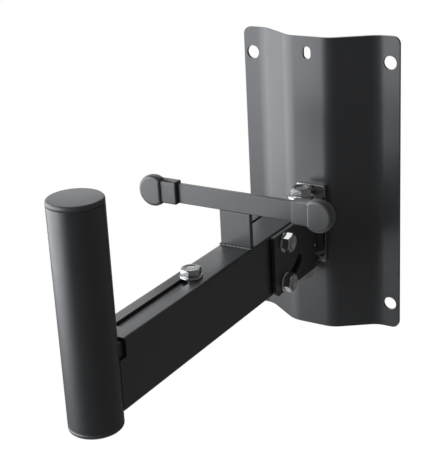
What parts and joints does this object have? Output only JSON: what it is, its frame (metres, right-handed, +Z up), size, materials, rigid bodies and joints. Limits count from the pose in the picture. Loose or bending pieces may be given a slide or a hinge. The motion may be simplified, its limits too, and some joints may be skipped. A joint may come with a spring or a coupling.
{
  "type": "speaker wall bracket",
  "caption": "Wall bracket for a loudspeaker: folded wall plate, swivelling and tilting telescopic arm, upright 35 mm post and a padded T-shaped rest.",
  "frame": {"origin": "centre of the four corner holes of the wall plate, on the wall plate's back face", "axes": "+Y into the wall, +Z up, +X to the right as seen from the room; the arm stands out along -Y"},
  "size_m": [0.1604, 0.3337, 0.244],
  "materials": {
    "black_steel": "satin black powder coat",
    "zinc_steel": "bright zinc plate",
    "moulded_cap": "moulded, matt",
    "rubber_pad": "soft moulded, matt",
    "nylon": "natural nylon"
  },
  "bodies": {
    "wall_bracket": {"wall_plate": "black_steel", "pivot_bracket": "zinc_steel", "lower_bracket_screw": "zinc_steel", "lower_bracket_washer": "zinc_steel", "lower_bracket_nut": "zinc_steel", "upper_bracket_screw": "zinc_steel", "upper_bracket_washer": "zinc_steel", "upper_bracket_nut": "zinc_steel", "swivel_bolt": "zinc_steel", "swivel_head_washer": "zinc_steel", "swivel_nut_washer": "zinc_steel", "swivel_nut": "zinc_steel", "upper_thrust_washer": "nylon", "lower_thrust_washer": "nylon"},
    "clevis": {"arm_clevis": "black_steel", "pivot_sleeve": "black_steel", "tilt_bolt": "zinc_steel", "tilt_head_washer": "zinc_steel", "tilt_nut_washer": "zinc_steel", "tilt_nut": "zinc_steel"},
    "arm": {"arm_tube": "black_steel", "lock_bolt": "zinc_steel", "lock_head_washer": "zinc_steel", "lock_nut_washer": "zinc_steel", "lock_nut": "zinc_steel", "rest_stem": "black_steel", "rest_bar": "black_steel", "rest_pad_left": "rubber_pad", "rest_pad_right": "rubber_pad"},
    "extension": {"extension_tube": "black_steel", "clamp_bolt": "zinc_steel", "clamp_washer": "zinc_steel", "clamp_nut": "zinc_steel", "post_tube": "black_steel", "post_top_cap": "moulded_cap", "post_bottom_cap": "moulded_cap"}
  },
  "joints": [
    {"name": "swivel", "type": "hinge", "parent": "wall_bracket", "child": "clevis", "pos_m": [0, -0.04, -0.0332], "axis": [0, 0, 1], "range_deg": [-65, 65]},
    {"name": "tilt", "type": "hinge", "parent": "clevis", "child": "arm", "pos_m": [0, -0.101, -0.0175], "axis": [1, 0, 0], "range_deg": [0, 45]},
    {"name": "extend", "type": "slide", "parent": "arm", "child": "extension", "axis": [0, -1, 0], "range_m": [0, 0.08]}
  ]
}
